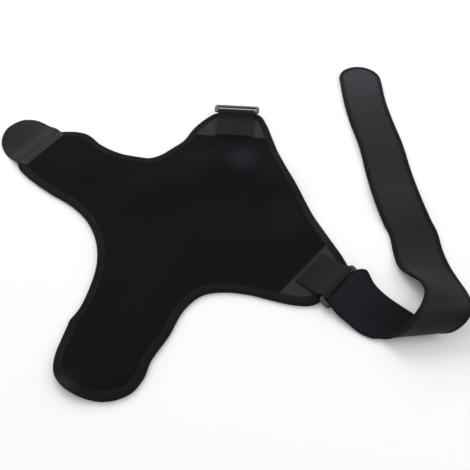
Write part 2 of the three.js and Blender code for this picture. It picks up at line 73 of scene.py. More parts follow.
def toned(tree, shader, factor, first, second):
    """Colours a shader with a mix of two colours: the factor is the share of the second."""
    mix = tree.nodes.new("ShaderNodeMix")
    mix.data_type = "RGBA"
    mix.inputs["A"].default_value = (*first, 1)
    mix.inputs["B"].default_value = (*second, 1)
    tree.links.new(factor, mix.inputs["Factor"])
    tree.links.new(mix.outputs["Result"], shader.inputs["Base Color"])
    return mix


bpy.ops.mesh.primitive_plane_add(size=9, location=(0, 0, 0))
floor = bpy.context.object
floor.name = "floor"
floor_paper, paper_tree, paper_shader = new_material("floor_paper")
paper_shader.inputs["Roughness"].default_value = 0.9
paper_shader.inputs["Specular IOR Level"].default_value = 0.1
paper_noise = paper_tree.nodes.new("ShaderNodeTexNoise")
paper_noise.inputs["Scale"].default_value = 3
toned(paper_tree, paper_shader, paper_noise.outputs["Fac"], (0.93, 0.93, 0.93), (0.96, 0.96, 0.96))
floor.data.materials.append(floor_paper)

world = bpy.data.worlds.new("studio")
world.use_nodes = True
sky = world.node_tree.nodes["Background"]
sky.inputs["Color"].default_value = (1, 1, 1, 1)
sky.inputs["Strength"].default_value = 0.75
bpy.context.scene.world = world
bpy.context.scene.view_settings.view_transform = "Standard"


def lamp(name, place, size, power):
    data = bpy.data.lights.new(name, "AREA")
    data.size = size
    data.energy = power
    light = bpy.data.objects.new(name, data)
    bpy.context.scene.collection.objects.link(light)
    light.location = place
    light.rotation_euler = Vector(place).to_track_quat("Z", "Y").to_euler()


lamp("lamp_behind", (-0.5, 1.3, 1.3), 1.3, 16)
lamp("lamp_right", (1.5, -0.2, 1.1), 1.0, 5)

# The neoprene panel
# One piece of neoprene laminate, cloth on both sides, cut to a cross with two arms. It lies open
# with its smooth inner side up, in soft swells that come from being worn and folded.
panel_length = 0.334
panel_width = 0.409
panel_thick = 0.0035
panel_turn = math.radians(19.5)
relief_height = 0.009
gap = 0.0003
tape = 0.0006
over_edge = tape + gap
panel_high = over_edge + panel_thick
bound_high = panel_high + over_edge
outline_spacing = 0.003
cloth_spacing = 0.0045
pattern_scale = 10  # the flat pattern is kept in decimetres

# The outline: along as a share of panel_length, across as a share of panel_width. One half of the
# right side is read and mirrored for the other; then come the waists, both arms and their notch.
ring_edge = [
    (0.331, 0), (0.333, 0.110), (0.345, 0.220), (0.354, 0.300), (0.350, 0.338), (0.329, 0.362),
    (0.269, 0.384), (0.210, 0.403), (0.174, 0.406), (0.120, 0.388), (0.060, 0.355),
]
far_spread = 0.98  # the far half is a little less wide
far_waist = [
    (0.006, 0.306), (-0.050, 0.284), (-0.105, 0.266), (-0.150, 0.265), (-0.184, 0.280), (-0.248, 0.315),
]
near_waist = [
    (-0.284, -0.366), (-0.216, -0.308), (-0.144, -0.281), (-0.075, -0.290), (0.000, -0.320),
]
arm_cut = [(-0.472, 0.481), (-0.622, 0.391)]
arm_end = [
    (-0.312, 0.376), (-0.336, 0.419), (-0.354, 0.442), (-0.376, 0.457), (-0.406, 0.470), (-0.444, 0.480),
    arm_cut[0], (-0.547, 0.435), arm_cut[1], (-0.638, 0.380), (-0.638, 0.362), (-0.616, 0.318),
]
arm_notch = [
    (-0.590, 0.280), (-0.542, 0.219), (-0.487, 0.158), (-0.444, 0.085), (-0.428, 0), (-0.444, -0.085),
    (-0.487, -0.160), (-0.533, -0.215), (-0.553, -0.230), (-0.568, -0.240), (-0.579, -0.255),
    (-0.604, -0.288),
]
lobe_end = [
    (-0.628, -0.325), (-0.641, -0.360), (-0.641, -0.386), (-0.620, -0.425), (-0.569, -0.465),
    (-0.503, -0.488), (-0.440, -0.485), (-0.394, -0.458), (-0.366, -0.426), (-0.354, -0.415),
    (-0.318, -0.390),
]

# Swells: along, across, length and width of each, turn in degrees, rise as a share of relief_height
swells = [
    (0.170, 0.150, 0.20, 0.12, -20, 0.85),
    (-0.10, 0.135, 0.30, 0.14, 8, 0.50),
    (0.290, 0.005, 0.20, 0.16, 85, 0.75),
    (-0.02, -0.14, 0.28, 0.20, -25, 0.40),
    (-0.44, 0.30, 0.19, 0.15, 130, 0.35),
    (-0.60, -0.40, 0.17, 0.12, 60, 0.60),
    (-0.43, -0.36, 0.20, 0.13, 50, 0.35),
]

# Creases and ridges: start along and across, end along and across, width, rise in millimetres
folds = [
    (-0.093, 0.235, 0.167, 0.118, 0.050, 1.1),
    (0.150, 0.122, 0.300, 0.052, 0.040, 1.3),
    (0.130, -0.042, 0.290, -0.004, 0.030, -1.5),
    (0.200, -0.078, 0.300, -0.062, 0.035, 1.1),
    (-0.300, 0.180, -0.420, 0.330, 0.040, 0.7),
    (-0.330, -0.200, -0.440, -0.340, 0.045, 0.7),
    (0.020, -0.250, 0.120, -0.120, 0.050, 0.8),
    (-0.230, -0.060, -0.080, 0.020, 0.055, 0.6),
]
millimetre = 0.001
fold_taper = 0.7
waver = 0.0005
waver_pitch = 28
waver_edge = (0.004, 0.030)
settling_edge = (0.041, 0.083)
curve_steps = 24
inset_keep = 0.97


def curve_place(p1, p2, t1, t2, t):
    """A place on the curve from p1 to p2 that leaves by t1 and arrives by t2."""
    return (
        p1 * (2 * t**3 - 3 * t**2 + 1) + t1 * (t**3 - 2 * t**2 + t)
        + p2 * (3 * t**2 - 2 * t**3) + t2 * (t**3 - t**2)
    )


def smooth_line(points, closed, spacing):
    """A centripetal curve through the points, with its own points evenly spaced."""
    points = [np.array(p, float) for p in points]
    count = len(points)
    dense = []
    for i in range(count if closed else count - 1):
        p1 = points[i]
        p2 = points[(i + 1) % count]
        p0 = points[i - 1] if closed or i > 0 else 2 * p1 - p2
        p3 = points[(i + 2) % count] if closed or i + 2 < count else 2 * p2 - p1
        d0, d1, d2 = [math.sqrt(np.linalg.norm(b - a)) for a, b in ((p0, p1), (p1, p2), (p2, p3))]
        t1 = ((p1 - p0) / d0 - (p2 - p0) / (d0 + d1) + (p2 - p1) / d1) * d1
        t2 = ((p2 - p1) / d1 - (p3 - p1) / (d1 + d2) + (p3 - p2) / d2) * d1
        dense += [curve_place(p1, p2, t1, t2, k / curve_steps) for k in range(curve_steps)]
    dense.append(points[0] if closed else points[-1])
    dense = np.array(dense)
    runs = np.concatenate([[0], np.cumsum(np.linalg.norm(np.diff(dense, axis=0), axis=1))])
    steps = max(2, round(runs[-1] / spacing))
    wanted = np.linspace(0, runs[-1], steps + 1)
    spaced = np.stack([np.interp(wanted, runs, dense[:, k]) for k in range(dense.shape[1])], 1)
    return spaced[:-1] if closed else spaced


far_half = [(along, across * far_spread) for along, across in ring_edge]
near_half = [(along, -across) for along, across in ring_edge[1:]]
panel_rows = far_half + far_waist + arm_end + arm_notch + lobe_end + near_waist + near_half[::-1]
panel_outline = smooth_line(
    [(along * panel_length, across * panel_width) for along, across in panel_rows], True, outline_spacing
)


def distance_to(loop, x, y):
    """The distance from a place to a closed outline."""
    side = np.roll(loop, -1, axis=0) - loop
    to = np.array([x, y]) - loop
    share = np.clip((to * side).sum(1) / (side**2).sum(1), 0, 1)
    return float(np.sqrt(((to - share[:, None] * side) ** 2).sum(1).min()))


def step_between(value, low, high):
    t = min(1, max(0, (value - low) / (high - low)))
    return t * t * (3 - 2 * t)


def signed_area(loop):
    x, y = loop[:, 0], loop[:, 1]
    return float((x * np.roll(y, -1) - np.roll(x, -1) * y).sum() / 2)


def inset_loop(loop, distance):
    """An outline moved inwards, without the points that come too near another stretch of it."""
    side = math.copysign(1, signed_area(loop))
    ways = np.roll(loop, -1, axis=0) - loop
    ways = ways / np.linalg.norm(ways, axis=1)[:, None]
    inward = side * np.stack([-ways[:, 1], ways[:, 0]], 1)
    before = np.roll(inward, 1, axis=0)
    reach = distance / (1 + (before * inward).sum(1))
    moved = loop + reach[:, None] * (before + inward)
    return np.array([p for p in moved if distance_to(loop, *p) > distance * inset_keep])


if signed_area(panel_outline) < 0:
    panel_outline = panel_outline[::-1]


def ground(x, y):
    """How high the lying panel is lifted at a place, in the panel's own frame."""
    height = 0
    for along, across, length, width, turn, rise in swells:
        dx = x - along * panel_length
        dy = y - across * panel_width
        cos, sin = math.cos(math.radians(turn)), math.sin(math.radians(turn))
        lengthwise = (dx * cos + dy * sin) / (length * panel_length)
        crosswise = (dy * cos - dx * sin) / (width * panel_length)
        height += relief_height * rise * max(0, 1 - lengthwise**2 - crosswise**2) ** 2
    for along, across, far_along, far_across, width, rise in folds:
        start = Vector((along * panel_length, across * panel_width))
        way = Vector((far_along * panel_length, far_across * panel_width)) - start
        share = (Vector((x, y)) - start).dot(way) / way.length_squared
        off = abs(way.x * (y - start.y) - way.y * (x - start.x)) / way.length
        ends = math.sin(math.pi * min(1, max(0, share))) ** fold_taper
        height += rise * millimetre * ends * math.exp(-((off / (width * panel_length)) ** 2))
    edge = distance_to(panel_outline, x, y)
    soft = noise.noise(Vector((x * waver_pitch, y * waver_pitch, 3.7))) * waver
    height = max(0, height + soft * step_between(edge, *waver_edge))
    return height - over_edge * step_between(edge, *settling_edge)


panel_spot = Matrix.Rotation(panel_turn, 3, "Z")
turned = np.array([panel_spot @ Vector((x, y, 0)) for x, y in panel_outline])
tape_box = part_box("edge_binding")
panel_shift = Vector((tape_box[0][0] - turned[:, 0].min(), tape_box[0][1] - turned[:, 1].min(), 0))


def on_brace(place):
    """From the panel's own frame to the brace's."""
    return panel_spot @ Vector(place) + panel_shift


def on_panel(x, y, z):
    """The same for a place at a height over the ground that the panel lies on."""
    return on_brace((x, y, z + ground(x, y)))


def select_mesh():
    bpy.ops.mesh.select_all(action="SELECT")


def cut_cloth(name, outline, spacing):
    """A flat piece of cloth with that outline, creased by even lines both ways."""
    bpy.ops.mesh.primitive_circle_add(vertices=len(outline), radius=0.1, fill_type="NGON")
    cloth = bpy.context.object
    cloth.name = name
    cloth.data.name = name
    if cloth.data.polygons[0].normal.z < 0:
        outline = outline[::-1]
    for vertex, (x, y) in zip(cloth.data.vertices, outline):
        vertex.co = (x, y, 0)
    bpy.ops.object.mode_set(mode="EDIT")
    for axis, normal in ((0, (1, 0, 0)), (1, (0, 1, 0))):
        low, high = min(p[axis] for p in outline), max(p[axis] for p in outline)
        count = max(2, round((high - low) / spacing))
        for k in range(1, count):
            select_mesh()
            line = [0, 0, 0]
            line[axis] = low + (high - low) * k / count
            bpy.ops.mesh.bisect(plane_co=line, plane_no=normal)
    select_mesh()
    bpy.ops.mesh.remove_doubles(threshold=0.0001)
    bpy.ops.object.mode_set(mode="OBJECT")
    return cloth


def keep_pattern(cloth):
    """Writes the flat place of each corner as the piece's own UV map."""
    layer = cloth.data.uv_layers.active or cloth.data.uv_layers.new(name="pattern")
    layer.name = "pattern"
    for loop in cloth.data.loops:
        x, y, _ = cloth.data.vertices[loop.vertex_index].co
        layer.data[loop.index].uv = (x * pattern_scale, y * pattern_scale)


def shaped(piece, place):
    """Moves each vertex of a flat piece to its place in the brace."""
    for vertex in piece.data.vertices:
        vertex.co = place(*vertex.co)
    piece.data.update()


def pick(piece):
    """Selects one piece alone and makes it active."""
    bpy.ops.object.select_all(action="DESELECT")
    piece.select_set(True)
    bpy.context.view_layer.objects.active = piece


def apply_modifier(piece, kind, **settings):
    pick(piece)
    modifier = piece.modifiers.new(kind.lower(), kind)
    for key, value in settings.items():
        setattr(modifier, key, value)
    bpy.ops.object.modifier_apply(modifier=modifier.name)


def thickened(piece, thickness, offset, second_material=0):
    apply_modifier(
        piece, "SOLIDIFY", thickness=thickness, offset=offset, use_even_offset=True,
        material_offset=second_material,
    )


def finished(piece, materials, nodes=(), angle=40):
    for material in materials:
        piece.data.materials.append(material)
    pick(piece)
    bpy.ops.object.shade_smooth_by_angle(angle=math.radians(angle))
    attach(piece, "root")
    if nodes:
        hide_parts(*nodes)


def new_group(name, inputs, outputs):
    """A shader node group with these sockets: name, kind and default value of each."""
    group = bpy.data.node_groups.new(name, "ShaderNodeTree")
    for socket, kind, value in inputs:
        made = group.interface.new_socket(socket, in_out="INPUT", socket_type=kind)
        if value is not None:
            made.default_value = value
    for socket, kind in outputs:
        group.interface.new_socket(socket, in_out="OUTPUT", socket_type=kind)
    enter = group.nodes.new("NodeGroupInput")
    leave = group.nodes.new("NodeGroupOutput")
    return group, enter, leave


def maths(tree, operation, *values):
    node = tree.nodes.new("ShaderNodeMath")
    node.operation = operation
    for socket, value in zip(node.inputs, values):
        if isinstance(value, (int, float)):
            socket.default_value = value
        else:
            tree.links.new(value, socket)
    return node.outputs[0]


# Soft unevenness of any surface: broad changes of tone and fine mottling.
uneven, enter, leave = new_group(
    "uneven_cloth",
    [("Vector", "NodeSocketVector", None), ("Broad", "NodeSocketFloat", 18.0),
     ("Fine", "NodeSocketFloat", 900.0), ("Amount", "NodeSocketFloat", 0.25)],
    [("Tone", "NodeSocketFloat"), ("Height", "NodeSocketFloat")],
)
broad = uneven.nodes.new("ShaderNodeTexNoise")
broad.inputs["Detail"].default_value = 3
fine = uneven.nodes.new("ShaderNodeTexNoise")
fine.inputs["Detail"].default_value = 2
for texture, scale in ((broad, "Broad"), (fine, "Fine")):
    uneven.links.new(enter.outputs["Vector"], texture.inputs["Vector"])
    uneven.links.new(enter.outputs[scale], texture.inputs["Scale"])
mixed = maths(uneven, "ADD", maths(uneven, "MULTIPLY", broad.outputs["Fac"], 0.6),
              maths(uneven, "MULTIPLY", fine.outputs["Fac"], 0.4))
swing = maths(uneven, "MULTIPLY", maths(uneven, "SUBTRACT", mixed, 0.5), enter.outputs["Amount"])
uneven.links.new(maths(uneven, "ADD", maths(uneven, "MULTIPLY", swing, 4), 1), leave.inputs["Tone"])
uneven.links.new(fine.outputs["Fac"], leave.inputs["Height"])

# Threads that cross over and under: rows of loops or picks at a pitch each way, along the cloth.
threads, enter, leave = new_group(
    "threads",
    [("Vector", "NodeSocketVector", None), ("Along", "NodeSocketFloat", 100.0),
     ("Across", "NodeSocketFloat", 100.0), ("Stagger", "NodeSocketFloat", 0.5)],
    [("Height", "NodeSocketFloat"), ("Rib", "NodeSocketFloat")],
)
split = threads.nodes.new("ShaderNodeSeparateXYZ")
threads.links.new(enter.outputs["Vector"], split.inputs[0])
row = maths(threads, "MULTIPLY", split.outputs["Y"], enter.outputs["Across"])
row_shift = maths(threads, "MULTIPLY", maths(threads, "FLOOR", row), enter.outputs["Stagger"])
column = maths(threads, "MULTIPLY", split.outputs["X"], enter.outputs["Along"])
column = maths(threads, "ADD", column, row_shift)
row_wave, column_wave = [
    maths(threads, "SINE", maths(threads, "MULTIPLY", maths(threads, "FRACT", count), math.pi))
    for count in (row, column)
]
threads.links.new(maths(threads, "MULTIPLY", row_wave, column_wave), leave.inputs["Height"])
threads.links.new(row_wave, leave.inputs["Rib"])


def put_group(material, group, **values):
    node = material.node_tree.nodes.new("ShaderNodeGroup")
    node.node_tree = group
    for key, value in values.items():
        node.inputs[key].default_value = value
    return node


def bumped(tree, shader, height, distance, invert=False):
    """Raises or sinks a shader's surface by a height, over the relief that it has already."""
    under = [link.from_socket for link in shader.inputs["Normal"].links]
    bump = tree.nodes.new("ShaderNodeBump")
    bump.invert = invert
    bump.inputs["Strength"].default_value = 1
    bump.inputs["Distance"].default_value = distance
    tree.links.new(height, bump.inputs["Height"])
    for normal in under:
        tree.links.new(normal, bump.inputs["Normal"])
    tree.links.new(bump.outputs["Normal"], shader.inputs["Normal"])


def cloth_finish(name, dark, light, roughness, sheen, along, across, bump, amount=0.25, broad=18.0,
                 rib=False, shine=0.06):
    """A cloth: its two tones mixed by threads and unevenness, its sheen, and its threads as bump."""
    material, tree, shader = new_material(name)
    shader.inputs["Specular IOR Level"].default_value = shine
    shader.inputs["Sheen Weight"].default_value = sheen
    shader.inputs["Sheen Roughness"].default_value = 0.45
    pattern = tree.nodes.new("ShaderNodeUVMap")
    pattern.uv_map = "pattern"
    place = tree.nodes.new("ShaderNodeTexCoord")
    cloth = put_group(material, threads, Along=along, Across=across)
    tree.links.new(pattern.outputs["UV"], cloth.inputs["Vector"])
    mottle = put_group(material, uneven, Broad=broad, Amount=amount)
    tree.links.new(place.outputs["Object"], mottle.inputs["Vector"])
    relief = cloth.outputs["Rib" if rib else "Height"]
    toned(tree, shader, maths(tree, "MULTIPLY", relief, mottle.outputs["Tone"]), dark, light)
    rough = maths(tree, "ADD", maths(tree, "MULTIPLY", mottle.outputs["Height"], 0.1), roughness - 0.05)
    tree.links.new(rough, shader.inputs["Roughness"])
    height = maths(tree, "ADD", relief, maths(tree, "MULTIPLY", mottle.outputs["Height"], 0.5))
    bumped(tree, shader, height, bump)
    return material


# A spot of painted light on a cloth, or painted shade where it is darker: how much lighter it is, fading
# outwards.
painted_lighting_spot, enter, leave = new_group(
    "painted_lighting_spot",
    [("Vector", "NodeSocketVector", None), ("Middle", "NodeSocketVector", None),
     ("Radius", "NodeSocketFloat", 0.03), ("More", "NodeSocketFloat", 0.5)],
    [("Gain", "NodeSocketFloat")],
)
in_plan = painted_lighting_spot.nodes.new("ShaderNodeVectorMath")
in_plan.operation = "MULTIPLY"
in_plan.inputs[1].default_value = (1, 1, 0)
painted_lighting_spot.links.new(enter.outputs["Vector"], in_plan.inputs[0])
away_from = painted_lighting_spot.nodes.new("ShaderNodeVectorMath")
away_from.operation = "DISTANCE"
painted_lighting_spot.links.new(in_plan.outputs[0], away_from.inputs[0])
painted_lighting_spot.links.new(enter.outputs["Middle"], away_from.inputs[1])
fading = painted_lighting_spot.nodes.new("ShaderNodeMapRange")
fading.interpolation_type = "SMOOTHSTEP"
fading.inputs["To Max"].default_value = 0
painted_lighting_spot.links.new(away_from.outputs["Value"], fading.inputs["Value"])
painted_lighting_spot.links.new(enter.outputs["Radius"], fading.inputs["From Max"])
painted_lighting_spot.links.new(enter.outputs["More"], fading.inputs["To Min"])
painted_lighting_spot.links.new(fading.outputs["Result"], leave.inputs["Gain"])


def painted_lighting_spots(material, spots):
    """Paints light or shade onto a cloth round some places: middle, radius and how much lighter."""
    tree = material.node_tree
    shader = tree.nodes["Principled BSDF"]
    place = next(node for node in tree.nodes if node.type == "TEX_COORD")
    gain = 1
    for x, y, radius, more in spots:
        spot = put_group(material, painted_lighting_spot, Middle=(x, y, 0), Radius=radius, More=more)
        tree.links.new(place.outputs["Object"], spot.inputs["Vector"])
        gain = maths(tree, "ADD", gain, spot.outputs["Gain"])
    scaled = tree.nodes.new("ShaderNodeVectorMath")
    scaled.operation = "SCALE"
    tree.links.new(shader.inputs["Base Color"].links[0].from_socket, scaled.inputs[0])
    tree.links.new(gain, scaled.inputs["Scale"])
    tree.links.new(scaled.outputs[0], shader.inputs["Base Color"])


knit = cloth_finish(
    "panel_knit", (0.0035, 0.0035, 0.0045), (0.0105, 0.0105, 0.0130), roughness=0.75, sheen=0.02,
    along=95, across=130, bump=0.00008, shine=0.02,
)
# Painted highlights on the panel, the strongest on the swell near the top ring.
painted_lighting_spots(knit, [
    (0.044, 0.059, 0.030, 1.60), (0.075, 0.036, 0.030, 0.25), (0.096, -0.032, 0.035, 0.70),
    (-0.024, 0.058, 0.060, 0.20), (-0.132, -0.246, 0.022, 0.80), (-0.074, -0.107, 0.110, 0.14),
])
backing = cloth_finish(
    "panel_backing", (0.006, 0.006, 0.007), (0.016, 0.016, 0.018), roughness=0.90, sheen=0.15,
    along=60, across=90, bump=0.0002,
)

panel = cut_cloth("panel_cloth", inset_loop(panel_outline, over_edge), cloth_spacing)
keep_pattern(panel)
shaped(panel, lambda x, y, z: on_panel(x, y, over_edge))
panel.data.materials.append(knit)
panel.data.materials.append(backing)
thickened(panel, panel_thick, 1, 1)
finished(panel, [], ["panel"])

# The panel's bound edge
# A narrow woven tape folded over the cut edge of the neoprene all the way round and sewn through
# both of its layers with one row of stitches.
binding_width = 0.0095
seam_share = 0.70  # where a tape is sewn, as a share of its width from the fold


def lattice(name, columns, rows, place):
    """A sheet of quads whose vertices are put in place by column and row."""
    bpy.ops.mesh.primitive_grid_add(x_subdivisions=columns - 1, y_subdivisions=rows - 1, size=2)
    sheet = bpy.context.object
    sheet.name = name
    sheet.data.name = name
    for vertex in sheet.data.vertices:
        i = round((vertex.co.x + 1) / 2 * (columns - 1))
        j = round((vertex.co.y + 1) / 2 * (rows - 1))
        vertex.co = place(i, j)
    return sheet


def merged(piece):
    """Joins a sheet to itself where its ends meet, and faces it outwards."""
    pick(piece)
    bpy.ops.object.mode_set(mode="EDIT")
    select_mesh()
    bpy.ops.mesh.remove_doubles(threshold=0.00002)
    select_mesh()
    bpy.ops.mesh.normals_make_consistent(inside=False)
    bpy.ops.object.mode_set(mode="OBJECT")


def tape_profile(width, inside, below):
    """Across a folded tape: distance in from the fold and height, round both of its faces."""
    on_top = inside + over_edge
    clear = 0.00004  # how close the tape lies to the cloth
    # Share of the width, height over the cloth's upper face, with a dip where it is sewn
    upper = [
        (1.00, 0.00012), (0.93, 0.00030), (0.80, 0.00030), (seam_share, 0.00016), (0.58, 0.00034),
        (0.30, 0.00036), (0.13, 0.00018), (0.05, -0.00040), (0.01, -0.00110),
    ]
    # Share of the width, height over the tape's lower face
    lower = [(0.01, 0.00110), (0.05, 0.00040), (0.13, 0), (0.50, 0), (1.00, 0)]
    # Distance in from the fold, for the face that lies on the cloth
    lining = [width, width * 0.5, tape * 1.4]
    return (
        [(width * share, on_top + height) for share, height in upper]
        + [(0, over_edge + inside / 2)]
        + [(width * share, over_edge + height - below) for share, height in lower]
        + [(depth, over_edge - clear) for depth in lining]
        + [(tape, over_edge), (tape, on_top)]
        + [(depth, on_top + clear) for depth in lining[::-1]]
    )


def along_line(line, closed, profile, place):
    """Sweeps a profile along a flat line: place gives the spot of a flat place and height."""
    ways = np.roll(line, -1, axis=0) - np.roll(line, 1, axis=0)
    if not closed:
        ways[0] = line[1] - line[0]
        ways[-1] = line[-1] - line[-2]
    ways = ways / np.linalg.norm(ways, axis=1)[:, None]
    count = len(line)

    def spot(i, j):
        x, y = line[i % count]
        way_x, way_y = ways[i % count]
        inward, height = profile[j % len(profile)]
        return place(x - way_y * inward, y + way_x * inward, height)

    return spot


def pattern_along(piece, line, profile, columns, rows):
    """The tape's own UV map: how far each corner lies along and across it."""
    runs = np.concatenate([[0], np.cumsum(np.linalg.norm(np.diff(line, axis=0), axis=1))])
    widths = [0]
    for a, b in zip(profile, profile[1:] + profile[:1]):
        widths.append(widths[-1] + math.dist(a, b))
    step = np.linalg.norm(line[1] - line[0])
    layer = piece.data.uv_layers.active
    layer.name = "pattern"
    for corner in layer.data:
        i = round(corner.uv.x * (columns - 1))
        j = round(corner.uv.y * (rows - 1))
        run = runs[i] if i < len(runs) else runs[-1] + step
        corner.uv = (run * pattern_scale, widths[j] * pattern_scale)


def swept_tape(name, line, closed, profile, place):
    columns = len(line) + (1 if closed else 0)
    rows = len(profile) + 1
    piece = lattice(name, columns, rows, along_line(line, closed, profile, place))
    pattern_along(piece, line, profile, columns, rows)
    merged(piece)
    return piece


tape_weave = cloth_finish(
    "tape_weave", (0.0035, 0.0035, 0.0050), (0.0180, 0.0180, 0.0215), roughness=0.72, sheen=0.04,
    along=140, across=70, bump=0.00018, amount=0.55, broad=60, shine=0.04,
)
# Painted highlights on both bound edges, the strongest on the lobe's edge and towards the strap's far
# tip.
painted_lighting_spots(tape_weave, [
    (-0.137, -0.251, 0.022, 1.50), (0.215, 0.262, 0.150, 0.90), (0.138, -0.045, 0.060, 0.70),
    (0.106, -0.127, 0.045, 0.30), (-0.230, 0.090, 0.070, 0.50),
])
edge_tape = swept_tape(
    "edge_tape", panel_outline, True,
    tape_profile(binding_width, panel_thick, over_edge - 0.00002), on_panel,
)
finished(edge_tape, [tape_weave], ["edge_binding"])


def guide_curve(name, line, closed=False):
    """A curve through the places of a flat line."""
    curve = bpy.data.curves.new(name, "CURVE")
    curve.dimensions = "3D"
    spline = curve.splines.new("POLY")
    spline.points.add(len(line) - 1)
    for point, (x, y) in zip(spline.points, line):
        point.co = (x, y, 0, 1)
    spline.use_cyclic_u = closed
    guide = bpy.data.objects.new(name, curve)
    bpy.context.scene.collection.objects.link(guide)
    return guide


def thread_row(name, line, place, stitch, pitch, radius, height, closed=False):
    """Even stitches along a flat line: one stitch is modelled, repeated and bent along the line."""
    bpy.ops.mesh.primitive_ico_sphere_add(subdivisions=1, radius=1)
    thread = bpy.context.object
    thread.name = name
    thread.data.name = name
    for vertex in thread.data.vertices:
        x, y, z = vertex.co
        vertex.co = (x * stitch / 2 + pitch / 2, y * radius, z * radius)
    guide = guide_curve(name + "_line", line, closed)
    length = guide.data.splines[0].calc_length()
    count = int(length / pitch)
    apply_modifier(
        thread, "ARRAY", fit_type="FIXED_COUNT", count=count, use_relative_offset=False,
        use_constant_offset=True, constant_offset_displace=(length / count, 0, 0),
    )
    apply_modifier(thread, "CURVE", object=guide, deform_axis="POS_X")
    bpy.data.objects.remove(guide)
    keep_pattern(thread)
    shaped(thread, lambda x, y, z: place(x, y, height + z))
    return thread


thread_finish = cloth_finish(
    "thread", (0.010, 0.010, 0.012), (0.038, 0.038, 0.043), roughness=0.55, sheen=0.05,
    along=900, across=900, bump=0.00003,
)
edge_stitches = thread_row(
    "edge_stitches", inset_loop(panel_outline, binding_width * seam_share), on_panel,
    stitch=0.0030, pitch=0.0040, radius=0.00026, height=panel_high + 0.00022, closed=True,
)
finished(edge_stitches, [thread_finish])

# The hook tab
# A stiff strip of moulded hooks on a woven ground, cut round at its end and sewn over the straight
# cut end of the upper arm with a broad zigzag.
tab_length = 0.065
tab_width = 0.077
tab_thick = 0.0014
tab_overlap = 0.012
tab_rest = 0.006
tab_slope = 0.017
tab_seat = panel_high + 0.0004
tab_sewn = 0.92
tab_press = 0.65
tab_curl = 0.0016
tab_ripple = 0.0004
# Round the tab's end: out as a share of tab_length, side as a share of half of tab_width
tab_rows = [
    (0.00, 0.95), (0.36, 0.99), (0.58, 0.97), (0.74, 0.88), (0.90, 0.67), (0.965, 0.37), (0.97, 0.05),
    (0.88, -0.30), (0.76, -0.55), (0.62, -0.725), (0.40, -0.88), (0.00, -1.00),
]
cut_ends = [Vector((along * panel_length, across * panel_width)) for along, across in arm_cut]
cut_middle = (cut_ends[0] + cut_ends[1]) / 2
cut_way = cut_ends[0] - cut_ends[1]
arm_turn = math.atan2(cut_way.y, cut_way.x) + math.radians(90)


def on_tab(x, y, z):
    """From the tab's own frame, whose x runs out over the cut end, to the brace's."""
    down = step_between(x, tab_rest - 0.004, tab_rest + tab_slope)
    pressed = step_between(-x, -0.001, tab_overlap)
    curl = tab_curl * max(0, x / tab_length) ** 3 * (1 + y / tab_width)
    ripple = tab_ripple * noise.noise(Vector((x * 40, y * 40, 9.1))) * step_between(x, 0.015, 0.04)
    flat = (
        cut_middle.x + x * math.cos(arm_turn) - y * math.sin(arm_turn),
        cut_middle.y + x * math.sin(arm_turn) + y * math.cos(arm_turn),
    )
    seat = tab_seat - 0.0003 * step_between(-x, 0.007, tab_overlap) + ground(*flat)
    spot = on_brace((*flat, 0))
    spot.z = z * (1 - tab_press * pressed) + seat * (1 - down) + curl + max(0, ripple)
    return spot


tab_curve = smooth_line(
    [(out * tab_length, -side * tab_width / 2) for out, side in tab_rows], False, 0.0025
)
tab_base = tab_sewn * tab_width / 2
tab_outline = np.array([(-tab_overlap, -tab_base), *tab_curve, (-tab_overlap, tab_base)])
hook_face = cloth_finish(
    "hook_face", (0.007, 0.007, 0.009), (0.036, 0.037, 0.042), roughness=0.60, sheen=0.10,
    along=125, across=125, bump=0.0003, broad=30,
)
# Painted shade towards the tab's tip and a painted highlight nearer its seam.
painted_lighting_spots(hook_face, [(-0.270, 0.110, 0.045, -0.62), (-0.222, 0.100, 0.022, 0.15)])
hook_tab = cut_cloth("hook_strip", tab_outline, 0.0035)
thickened(hook_tab, tab_thick, 1)
apply_modifier(hook_tab, "BEVEL", width=0.0004, segments=2, limit_method="ANGLE")
keep_pattern(hook_tab)
shaped(hook_tab, on_tab)
finished(hook_tab, [hook_face], ["hook_tab"])


def thread_line(name, line, place, radius):
    """One thread laid along a flat line and moved onto its cloth."""
    guide = guide_curve(name, line)
    guide.data.bevel_depth = radius
    guide.data.bevel_resolution = 1
    guide.data.use_fill_caps = True
    pick(guide)
    bpy.ops.object.convert(target="MESH")
    thread = bpy.context.object
    thread.data.name = name
    keep_pattern(thread)
    shaped(thread, place)
    return thread


def zigzag(start, end, width, pitch):
    """A zigzag between two places, width across and pitch from point to point."""
    start, end = Vector(start), Vector(end)
    way = end - start
    count = max(2, round(way.length / pitch))
    side = Vector((-way.y, way.x)).normalized() * width / 2
    return [tuple(start + way * k / count + (side if k % 2 else -side)) for k in range(count + 1)]


zigzag_finish = cloth_finish(
    "zigzag_thread", (0.110, 0.110, 0.120), (0.280, 0.280, 0.300), roughness=0.60, sheen=0.05,
    along=900, across=900, bump=0.00003,
)
zigzag_middle = -0.0083
zigzag_side = tab_base - 0.002
zigzag_line = zigzag(
    (zigzag_middle, -zigzag_side), (zigzag_middle, zigzag_side), width=0.0094, pitch=0.0024
)
tab_zigzag = thread_line(
    "tab_zigzag", zigzag_line, lambda x, y, z: on_tab(x, y, z + tab_thick * 1.1), radius=0.00050
)
finished(tab_zigzag, [zigzag_finish])
tab_rim = inset_loop(tab_outline if signed_area(tab_outline) > 0 else tab_outline[::-1], 0.0028)
tab_stitches = thread_row(
    "tab_stitches", tab_rim[tab_rim[:, 0] > 0], on_tab,
    stitch=0.0024, pitch=0.0032, radius=0.00028, height=tab_thick + 0.0001,
)
finished(tab_stitches, [thread_finish])

# The corner patches
# A thin cloth facing sewn flat on each of the two corners that carry a ring, tucked up against the
# bound edge and cut straight across on its inner side.
patch_thick = 0.0008
patch_low = panel_high + 0.00006
patch_top = patch_low + 0.0005
webbing_width = 0.050
